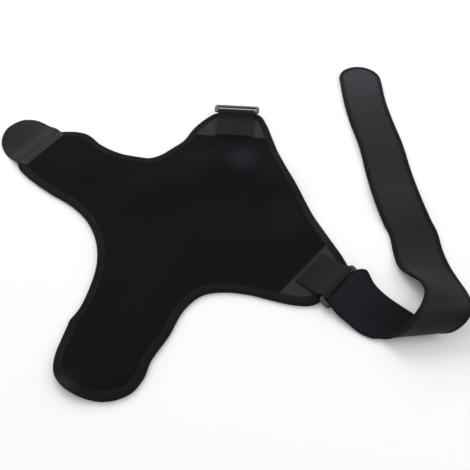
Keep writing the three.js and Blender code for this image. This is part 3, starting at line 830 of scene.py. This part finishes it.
# Where the rings sit: turn in degrees, loop and patch as shares of webbing_width inwards from
# there, tilt as a share of ring_droop
ring_seats = {
    "top": {"along": 0.261, "across": 0.3745, "turn": 66.0, "loop": 0.96, "patch": 0.97, "tilt": 0.15},
    "side": {"along": 0.286, "across": -0.382, "turn": -60.7, "loop": 0.80, "patch": 0.89, "tilt": 1},
}


def ahead_of(loop, place, angle):
    """The part of an outline that lies ahead of a line across the direction at an angle."""
    depths = (loop[:, 0] - place[0]) * math.cos(angle) + (loop[:, 1] - place[1]) * math.sin(angle)
    kept = []
    for i, point in enumerate(loop):
        here, there = depths[i], depths[(i + 1) % len(loop)]
        if here > 0:
            kept.append(point)
        if here * there < 0:
            kept.append(point + here / (here - there) * (loop[(i + 1) % len(loop)] - point))
    return np.array(kept)


patch_finish = cloth_finish(
    "patch_cloth", (0.011, 0.011, 0.0125), (0.055, 0.055, 0.061), roughness=0.85, sheen=0.08,
    along=170, across=170, bump=0.0001, broad=40,
)
patch_field = inset_loop(panel_outline, binding_width + gap)
for name, seat in ring_seats.items():
    angle = math.radians(seat["turn"])
    middle = (
        seat["along"] * panel_length - seat["patch"] * webbing_width * math.cos(angle),
        seat["across"] * panel_width - seat["patch"] * webbing_width * math.sin(angle),
    )
    patch_outline = ahead_of(patch_field, middle, angle)
    patch = cut_cloth(f"{name}_corner_cloth", patch_outline, 0.004)
    keep_pattern(patch)
    shaped(patch, lambda x, y, z: on_panel(x, y, patch_low))
    thickened(patch, patch_top - patch_low, 1)
    finished(patch, [patch_finish], [f"{name}_patch"])
    patch_seam = thread_row(
        f"{name}_corner_stitches", inset_loop(patch_outline, 0.0022), on_panel,
        stitch=0.0022, pitch=0.0030, radius=0.00020, height=patch_top, closed=True,
    )
    finished(patch_seam, [thread_finish])

# The webbing loops
# Ribbed webbing folded round the inner bar of each ring, its two layers laid on each other and
# sewn down to the corner with rows of stitches along both sides and across the end.
webbing = 0.0016
webbing_cloth = 0.0012
webbing_merge = 0.015
webbing_spacing = 0.0012
seam_margin = 0.003
ring_bar = 0.004
ring_thick = 0.0032
ring_seat = 0.004
bar_eye = math.hypot(ring_bar / 2, ring_thick / 2 - 0.0005) + gap
webbing_low = bound_high + gap + patch_thick / 4
inner_bar_high = webbing_low + webbing + bar_eye


def at_seat(seat):
    """From a ring corner's frame, whose x runs outwards over the corner, to the brace's."""
    angle = math.radians(seat["turn"])
    cos, sin = math.cos(angle), math.sin(angle)

    def place(x, y, z):
        flat_x = seat["along"] * panel_length + x * cos - y * sin
        flat_y = seat["across"] * panel_width + x * sin + y * cos
        lift = ground(flat_x, flat_y) * step_between(-x, 0.006, 0.022)
        return on_brace((flat_x, flat_y, z + lift))

    return place


def webbing_side(reach):
    """The middle of the folded webbing seen from its side, from one cut end to the other."""
    radius = bar_eye + webbing_cloth / 2
    low = patch_top + webbing_cloth / 2
    high = low + webbing_cloth
    side = [(-reach, low), (-reach * 0.7, low), (-reach * 0.4, low), (-0.009, low + 0.0004)]
    for turn in range(-90, 91, 15):
        cos, sin = math.cos(math.radians(turn)), math.sin(math.radians(turn))
        side.append((radius * cos - ring_seat, inner_bar_high + radius * sin))
    merge = -ring_seat - webbing_merge
    side += [(-ring_seat - 0.004, inner_bar_high + radius * 0.80), (merge * 0.62, high + 0.0020)]
    side += [(merge * 0.85, high + 0.0004), (merge, high), (-reach * 0.7, high), (-reach, high)]
    return smooth_line(side, False, webbing_spacing)


webbing_finish = cloth_finish(
    "ribbed_webbing", (0.005, 0.005, 0.0065), (0.0185, 0.0185, 0.0215), roughness=0.65, sheen=0.06,
    along=200, across=62, bump=0.0005, rib=True, amount=0.2,
)
for name, seat in ring_seats.items():
    reach = seat["loop"] * webbing_width
    side_line = webbing_side(reach)
    columns, rows = len(side_line), 31
    place = at_seat(seat)
    loop = lattice(
        f"{name}_webbing", columns, rows,
        lambda i, j: (side_line[i][0], (j / (rows - 1) - 0.5) * webbing_width, side_line[i][1]),
    )
    for corner in loop.data.uv_layers.active.data:
        corner.uv = (corner.uv.x * columns * 0.012, corner.uv.y * webbing_width * 10)
    loop.data.uv_layers.active.name = "pattern"
    shaped(loop, place)
    thickened(loop, webbing_cloth * 0.97, 0)
    apply_modifier(
        loop, "BEVEL", width=0.0003, segments=2, limit_method="ANGLE", angle_limit=math.radians(60)
    )
    finished(loop, [webbing_finish], [f"{name}_loop"])
    top = patch_top + 2 * webbing_cloth + 0.00005
    side = webbing_width / 2 - seam_margin
    end, second, front = -reach + seam_margin, -reach + 2 * seam_margin, -ring_seat - webbing_merge
    for row, line in enumerate((
        [(end, -side), (end, side)], [(second, -side), (second, side)],
        [(end, side), (front, side)], [(end, -side), (front, -side)], [(front, -side), (front, side)],
    )):
        seam = thread_row(
            f"{name}_webbing_stitches_{row}", line, place,
            stitch=0.0023, pitch=0.0030, radius=0.0003, height=top,
        )
        finished(seam, [thread_finish])

# The rings
# Flat oblong rings moulded in one piece from hard plastic, with rounded edges. Each hangs in its
# webbing by the inner bar and tips down over the edge of the panel.
ring_length = 0.062
ring_window = 0.007
ring_end = 0.0054
ring_round = 0.0045
ring_soften = 0.001
strap_core = 0.0024
outer_bar_high = strap_core + bar_eye
bar_spacing = ring_window + ring_bar
ring_droop = math.asin((inner_bar_high - outer_bar_high) / bar_spacing)

ring_finish, ring_tree, ring_shader = new_material("ring_plastic")
ring_place = ring_tree.nodes.new("ShaderNodeTexCoord")
ring_mottle = put_group(ring_finish, uneven, Broad=140, Fine=2600, Amount=0.2)
ring_tree.links.new(ring_place.outputs["Object"], ring_mottle.inputs["Vector"])
ring_share = maths(ring_tree, "MULTIPLY", ring_mottle.outputs["Tone"], 0.5)
toned(ring_tree, ring_shader, ring_share, (0.028, 0.028, 0.031), (0.075, 0.075, 0.078))
ring_rough = maths(ring_tree, "MULTIPLY", ring_mottle.outputs["Height"], 0.2)
ring_rough = maths(ring_tree, "ADD", ring_rough, 0.22)
ring_tree.links.new(ring_rough, ring_shader.inputs["Roughness"])
bumped(ring_tree, ring_shader, ring_mottle.outputs["Height"], 0.00003)
# A copy of the ring plastic with weaker reflection, for the side ring: painted shade, since both rings
# are of one plastic.
shaded_ring_copy = ring_finish.copy()
shaded_ring_copy.name = "ring_plastic_shaded_copy"
shaded_ring_copy.node_tree.nodes["Principled BSDF"].inputs["Specular IOR Level"].default_value = 0.12
ring_finishes = {"top": ring_finish, "side": shaded_ring_copy}

for name, seat in ring_seats.items():
    bpy.ops.object.select_all(action="DESELECT")
    bpy.ops.mesh.primitive_plane_add(size=1)
    ring = bpy.context.object
    ring.name = f"{name}_oblong_ring"
    ring.data.name = ring.name
    depth = bar_spacing + ring_bar
    for vertex in ring.data.vertices:
        vertex.co = (vertex.co.x * depth, vertex.co.y * ring_length, -ring_thick / 2)
    bpy.ops.object.mode_set(mode="EDIT")
    select_mesh()
    bpy.ops.mesh.bevel(affect="VERTICES", offset=ring_round, segments=6)
    select_mesh()
    bpy.ops.mesh.inset(thickness=ring_bar)
    window = (ring_length - 2 * ring_end) / (ring_length - 2 * ring_bar)
    bpy.ops.transform.resize(value=(1, window, 1))
    bpy.ops.mesh.delete(type="FACE")
    select_mesh()
    bpy.ops.mesh.extrude_region_move(TRANSFORM_OT_translate={"value": (0, 0, ring_thick)})
    select_mesh()
    bpy.ops.mesh.normals_make_consistent(inside=False)
    bpy.ops.object.mode_set(mode="OBJECT")
    apply_modifier(
        ring, "BEVEL", width=ring_soften, segments=3, limit_method="ANGLE", angle_limit=math.radians(50)
    )
    place = at_seat(seat)
    droop = seat["tilt"] * ring_droop

    def on_bar(x, y, z):
        x += bar_spacing / 2
        return place(
            x * math.cos(droop) + z * math.sin(droop) - ring_seat,
            y,
            inner_bar_high - x * math.sin(droop) + z * math.cos(droop),
        )

    shaped(ring, on_bar)
    finished(ring, [ring_finishes[name]], [f"{name}_ring"], angle=35)

# The long strap
# Wide elastic cloth, smooth on its outer side and embossed with small dimples on its inner side. It
# is folded back round the outer bar of the side ring, rolls over once and lies away with its inner
# side up.
strap_width = 0.060
strap_binding = 0.0055
strap_reach = 0.400
roll_height = 0.028
strap_spacing = 0.004

# The folded end: out and slip as shares of the strap's width, turn in degrees, span as a share
flap_sections = [(0.30, 0.06, 4, 0.98), (0.11, 0.13, 1, 1.04)]

# From the ring to the tip: right and away as shares of strap_reach, rise as a share of roll_height,
# turn and lean in degrees, span as a share of the strap's width
strap_sections = [
    (0.016, 0.000, 0.240, 47, 0, 1.08),
    (0.026, -0.018, 0.175, 48, 0, 1.06), (0.043, -0.042, 0.110, 49, 0, 0.98),
    (0.075, -0.074, 0.020, 46, 0, 0.95), (0.118, -0.106, 0.010, 32, -1, 0.94),
    (0.149, -0.126, 0.040, 14, -1, 0.98), (0.166, -0.139, 0.180, 7, 0, 1.04),
    (0.184, -0.146, 0.500, 5, 0, 1.05), (0.209, -0.136, 0.850, 5, 0, 1.05),
    (0.231, -0.111, 1.000, 5, -1, 1.04), (0.248, -0.083, 0.900, 4, -5, 0.96),
    (0.260, -0.050, 0.720, 3, -10, 0.88), (0.266, -0.020, 0.540, 2, -13, 0.84),
    (0.262, 0.010, 0.390, 2, -13, 0.85), (0.249, 0.042, 0.240, 3, -9, 0.93),
    (0.236, 0.080, 0.090, 4, -4, 0.99), (0.231, 0.138, 0.000, 3, 0, 0.96),
    (0.230, 0.200, 0.000, 4, 0, 0.96), (0.219, 0.247, 0.030, 6, 0, 0.97),
    (0.204, 0.340, 0.090, 6, 0, 0.98), (0.197, 0.447, 0.010, 4, 0, 0.98),
    (0.190, 0.572, 0.050, 4, 0, 0.98), (0.176, 0.697, 0.000, 4, 0, 1.00),
    (0.168, 0.797, 0.000, 1, 0, 1.00), (0.167, 0.897, 0.020, -1, 0, 1.01),
    (0.167, 1.000, 0.000, -1, 0, 1.01),
]

side_seat = ring_seats["side"]
side_turn = math.radians(side_seat["turn"]) + panel_turn
outward = Vector((math.cos(side_turn), math.sin(side_turn), 0))
aside = Vector((-outward.y, outward.x, 0))
upward = Vector((0, 0, 1))
outer_bar = on_brace((side_seat["along"] * panel_length, side_seat["across"] * panel_width, 0))
outer_bar += outward * (bar_spacing * math.cos(ring_droop) - ring_seat)
outer_bar.z = outer_bar_high
wrap_radius = bar_eye + strap_core / 2
wrap_slack = 0.0021
wrap_slip = 0.0035
flap_lift = 0.0002
flap_steps = 6
wrap_steps = 18
route_steps = 10
window_span = (ring_length - 2 * ring_end - 3 * gap) / strap_width
across_at_ring = math.degrees(side_turn) + 90
lying = over_edge + strap_core / 2


def uniform_curve(knots, share):
    """A place on a curve through evenly counted knots, at a share from 0 to 1."""
    at = min(share, 0.999999) * (len(knots) - 1)
    i = int(at)
    p1, p2 = knots[i], knots[i + 1]
    p0 = knots[i - 1] if i > 0 else p1 * 2 - p2
    p3 = knots[i + 2] if i + 2 < len(knots) else p2 * 2 - p1
    return curve_place(p1, p2, (p2 - p0) / 2, (p3 - p1) / 2, at - i)


def rounded_sections():
    """Sections along the strap: middle, turn, lean and span of the line across it."""
    found = []
    knots = []
    for out, slip, turn, span in flap_sections:
        point = outer_bar + outward * out * strap_width + aside * slip * strap_width
        point.z = strap_core / 2 + flap_lift
        knots.append((point, across_at_ring + turn, 0, span))
    bottom = outer_bar - upward * wrap_radius
    knots.append((bottom, across_at_ring, 0, window_span))
    for (a, turn_a, _, span_a), (b, turn_b, _, span_b) in zip(knots, knots[1:]):
        for k in range(flap_steps):
            t = step_between(k / flap_steps, 0, 1) * 0.4 + 0.6 * k / flap_steps
            turn, span = turn_a + (turn_b - turn_a) * t, span_a + (span_b - span_a) * t
            found.append((a.lerp(b, t), turn, 0, span))
    for k in range(wrap_steps + 1):
        passed = 180 * k / wrap_steps
        turn = math.radians(-90 - passed)
        point = outer_bar + outward * wrap_radius * math.cos(turn)
        point += upward * wrap_radius * math.sin(turn)
        point -= outward * wrap_slack * math.sin(math.radians(passed))
        widening = step_between(k, 14, wrap_steps)
        point += aside * (0.0004 + wrap_slip * widening)
        found.append((point, across_at_ring, 0, window_span + (1 - window_span) * widening))
    first = found[-1]
    route = [first[0]]
    for right, away, rise, _, _, _ in strap_sections:
        x, y = outer_bar.x + right * strap_reach, outer_bar.y + away * strap_reach
        route.append(Vector((x, y, lying + rise * roll_height)))
    attitude = [Vector((first[1], 0, first[3] * 100))] + [
        Vector((turn, lean, span * 100)) for _, _, _, turn, lean, span in strap_sections
    ]
    steps = len(strap_sections) * route_steps
    for k in range(1, steps + 1):
        point = uniform_curve(route, k / steps)
        turn, lean, span = uniform_curve(attitude, k / steps)
        lower = strap_width / 2 * span / 100 * abs(math.sin(math.radians(lean)))
        point.z = max(point.z, lying + lower)
        found.append((point, turn, lean, span / 100))
    return found


sections = rounded_sections()
wrap_end = len(flap_sections) * flap_steps + wrap_steps
strap_runs = [0.0]
strap_ways = []
for i, (point, turn, lean, span) in enumerate(sections):
    before = sections[max(0, i - 1)][0]
    after = sections[min(len(sections) - 1, i + 1)][0]
    if i:
        strap_runs.append(strap_runs[-1] + (point - before).length)
    turn, lean = math.radians(turn), math.radians(lean)
    across = Vector((math.cos(turn) * math.cos(lean), math.sin(turn) * math.cos(lean), math.sin(lean)))
    strap_ways.append((across, (after - before).cross(across).normalized()))
strap_end = strap_runs[-1]


def on_strap(run, side, height):
    """From the strap's flat pattern, along, across and up through it, to the brace."""
    i = int(np.clip(np.searchsorted(strap_runs, run) - 1, 0, len(sections) - 2))
    t = (run - strap_runs[i]) / (strap_runs[i + 1] - strap_runs[i])
    places = []
    for k in (i, i + 1):
        point, _, _, span = sections[k]
        across, face = strap_ways[k]
        place = point + across * side * span + face * (height - lying)
        lowest = lying + math.copysign(1, face.z) * (height - lying) if k > wrap_end else 0
        place.z = max(place.z, lowest if abs(face.z) > 0.5 else 0, 0)
        places.append(place)
    return places[0].lerp(places[1], min(1, max(0, t)))


def strap_line(inset_by, start, spacing):
    """The strap's outline from its near end round the tip and back, moved in by a distance."""
    half = strap_width / 2 - inset_by
    tip = strap_end - strap_width / 2
    count = round((tip - start) / spacing)
    lower = [(start + (tip - start) * k / count, -half) for k in range(count)]
    turns = [math.radians(-90 + 180 * k / 28) for k in range(29)]
    nose = [(tip + half * math.cos(turn), half * math.sin(turn)) for turn in turns]
    upper = [(x, -y) for x, y in lower[::-1]]
    return np.array(lower + nose + upper)


def dimpled_finish():
    """The strap's inner side: a brushed ground with small staggered dimples pressed into it."""
    material = cloth_finish(
        "strap_inner", (0.0125, 0.0125, 0.0150), (0.029, 0.029, 0.034), roughness=0.80, sheen=0.10,
        along=180, across=180, bump=0.0001, broad=30, amount=0.3,
    )
    tree = material.node_tree
    pattern = next(node for node in tree.nodes if node.type == "UVMAP")
    dimples = put_group(material, threads, Along=45, Across=72)
    tree.links.new(pattern.outputs["UV"], dimples.inputs["Vector"])
    pit = maths(tree, "POWER", dimples.outputs["Height"], 1.6)
    shader = tree.nodes["Principled BSDF"]
    bumped(tree, shader, pit, 0.00018, invert=True)
    # The dimples are also painted darker in colour: painted shade in their hollows.
    tone = shader.inputs["Base Color"].links[0].from_socket
    shaded = toned(tree, shader, maths(tree, "MULTIPLY", pit, 0.35), (1, 1, 1), (0.45, 0.45, 0.47))
    shaded.blend_type = "MULTIPLY"
    tree.links.new(tone, shaded.inputs["A"])
    return material


strap_outer = cloth_finish(
    "strap_outer", (0.007, 0.007, 0.0095), (0.0175, 0.0175, 0.0230), roughness=0.8, sheen=0.05,
    along=110, across=150, bump=0.0001, broad=30,
)
strap_inner = dimpled_finish()
# Painted shade on a spot of the strap's outer side.
painted_lighting_spots(strap_outer, [(0.193, -0.170, 0.040, -0.30)])
# Painted light towards the strap's far tip, a small painted highlight, and painted shade at two spots
# lower down.
painted_lighting_spots(strap_inner, [
    (0.215, 0.262, 0.150, 1.25), (0.233, 0.003, 0.028, 0.18), (0.252, -0.057, 0.040, -0.25),
    (0.261, -0.159, 0.060, -0.58),
])
strap = cut_cloth("elastic_strap", strap_line(over_edge, 0, strap_spacing), strap_spacing)
keep_pattern(strap)
shaped(strap, lambda x, y, z: on_strap(x, y, lying))
strap.data.materials.append(strap_outer)
strap.data.materials.append(strap_inner)
thickened(strap, strap_core, 0, 1)
finished(strap, [], ["strap"])

# The strap's bound edge
# The same woven tape, narrower, folded over both long edges and the round tip, with one row of
# stitches through both faces.
tape_under = 0.0004
strap_tape = swept_tape(
    "strap_edge_tape", strap_line(0, 0.004, outline_spacing), False,
    tape_profile(strap_binding, strap_core, tape_under), on_strap,
)
finished(strap_tape, [tape_weave], ["strap_binding"])
for name, height in (("upper", over_edge + strap_core + 0.0002), ("lower", over_edge - tape_under)):
    strap_stitches = thread_row(
        f"strap_stitches_{name}", strap_line(strap_binding * seam_share, 0.012, strap_spacing), on_strap,
        stitch=0.0026, pitch=0.0036, radius=0.00028, height=height,
    )
    finished(strap_stitches, [thread_finish])
